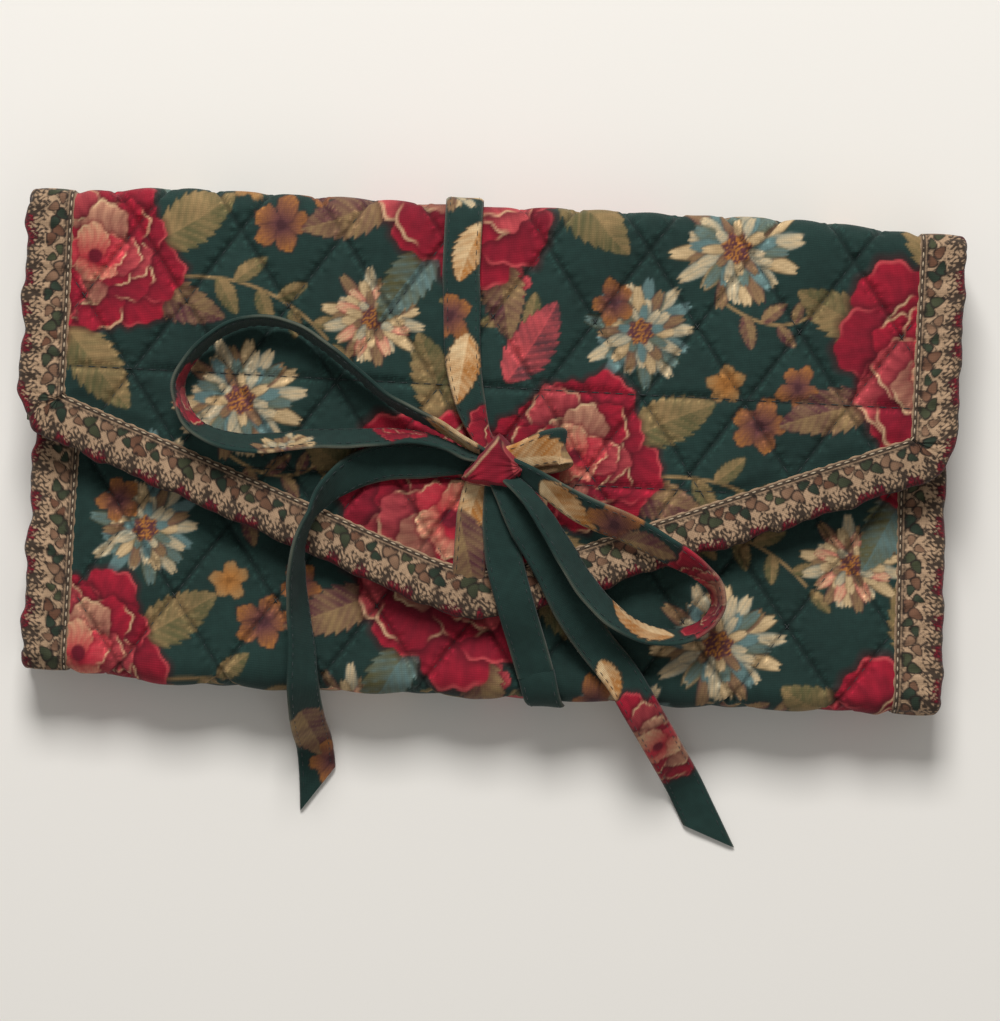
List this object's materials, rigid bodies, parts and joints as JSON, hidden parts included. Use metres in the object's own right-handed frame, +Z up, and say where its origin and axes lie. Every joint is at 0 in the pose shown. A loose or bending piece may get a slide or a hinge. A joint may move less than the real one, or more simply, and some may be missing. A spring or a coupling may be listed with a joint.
{
  "type": "jewelry roll",
  "caption": "Quilted cotton jewelry roll, folded in three with a pointed bound flap, zipped pockets and a ring bar inside, tied shut with a bow.",
  "frame": {"origin": "middle of the footprint of the closed roll, on the table", "axes": "+X along the roll, +Y to the flap's fold, +Z up from the table"},
  "size_m": [0.235, 0.1605, 0.0402],
  "materials": {
    "print": "printed cotton, floral on dark green, quilted",
    "batting": "soft white batting",
    "lining": "plain sage cotton",
    "binding": "printed cotton, leaves on tan",
    "tie": "printed cotton strap, topstitched",
    "zip_tape": "woven tape with a plastic coil",
    "brass": "antique brass"
  },
  "bodies": {
    "back": {"back_cover": "print", "back_batting": "batting", "back_lining": "lining", "back_pocket": "lining", "back_binding_left": "binding", "back_binding_right": "binding", "back_zip_tape_fold": "zip_tape", "back_zip_tape_point": "zip_tape", "snap_socket": "brass", "tie_back": "tie"},
    "top_fold": {"top_fold_cover": "print", "top_fold_batting": "batting", "top_fold_lining": "lining", "top_fold_binding_left": "binding", "top_fold_binding_right": "binding", "tie_top": "tie"},
    "flap": {"flap_cover": "print", "flap_batting": "batting", "flap_lining": "lining", "flap_pocket": "lining", "flap_binding": "binding", "flap_zip_tape_fold": "zip_tape", "flap_zip_tape_point": "zip_tape", "tie_upper": "tie", "tie_knot": "tie", "tie_fold": "tie", "tie_neck": "tie", "tie_lower": "tie", "bow_loop_left": "tie", "bow_loop_right": "tie", "tie_tail_left": "tie", "tie_tail_right": "tie"},
    "bottom_fold": {"bottom_fold_cover": "print", "bottom_fold_batting": "batting", "bottom_fold_lining": "lining", "bottom_fold_binding_left": "binding", "bottom_fold_binding_right": "binding", "tie_bottom": "tie"},
    "front": {"front_cover": "print", "front_batting": "batting", "front_lining": "lining", "front_pocket": "lining", "front_binding": "binding"},
    "flap_slider": {"flap_zip_slider": "brass"},
    "flap_pull": {"flap_zip_pull": "brass"},
    "back_slider": {"back_zip_slider": "brass"},
    "back_pull": {"back_zip_pull": "brass"},
    "ring_bar": {"ring_bar_roll": "print", "snap_stud": "brass"}
  },
  "joints": [
    {"name": "unroll", "type": "hinge", "parent": "back", "child": "top_fold", "pos_m": [0, 0.0592, 0.0018], "axis": [-1, 0, 0], "range_deg": [0, 90]},
    {"name": "flap_fold", "type": "hinge", "parent": "top_fold", "child": "flap", "pos_m": [0, 0.0592, 0.027], "axis": [-1, 0, 0], "range_deg": [0, 87]},
    {"name": "front_unroll", "type": "hinge", "parent": "back", "child": "bottom_fold", "pos_m": [0, -0.0592, 0.0018], "axis": [1, 0, 0], "range_deg": [0, 90]},
    {"name": "front_fold", "type": "hinge", "parent": "bottom_fold", "child": "front", "pos_m": [0, -0.0592, 0.0202], "axis": [1, 0, 0], "range_deg": [0, 90]},
    {"name": "flap_zip", "type": "slide", "parent": "flap", "child": "flap_slider", "axis": [-1, 0, 0], "range_m": [0, 0.152]},
    {"name": "flap_pull_swing", "type": "hinge", "parent": "flap_slider", "child": "flap_pull", "pos_m": [0.076, 0.00465, 0.02175], "axis": [0, -1, 0], "range_deg": [0, 9]},
    {"name": "back_zip", "type": "slide", "parent": "back", "child": "back_slider", "axis": [-1, 0, 0], "range_m": [0, 0.176]},
    {"name": "back_pull_swing", "type": "hinge", "parent": "back_slider", "child": "back_pull", "pos_m": [0.088, 0.0435, 0.00675], "axis": [0, 1, 0], "range_deg": [0, 170]},
    {"name": "ring_bar_lift", "type": "hinge", "parent": "back", "child": "ring_bar", "pos_m": [-0.091, 0.024, 0.0055], "axis": [0, -1, 0], "range_deg": [0, 2.2]}
  ],
  "couplings": [
    {"joint": "flap_fold", "follows": "unroll", "ratio": 0.96667},
    {"joint": "front_unroll", "follows": "unroll", "ratio": 1},
    {"joint": "front_fold", "follows": "unroll", "ratio": 1}
  ]
}
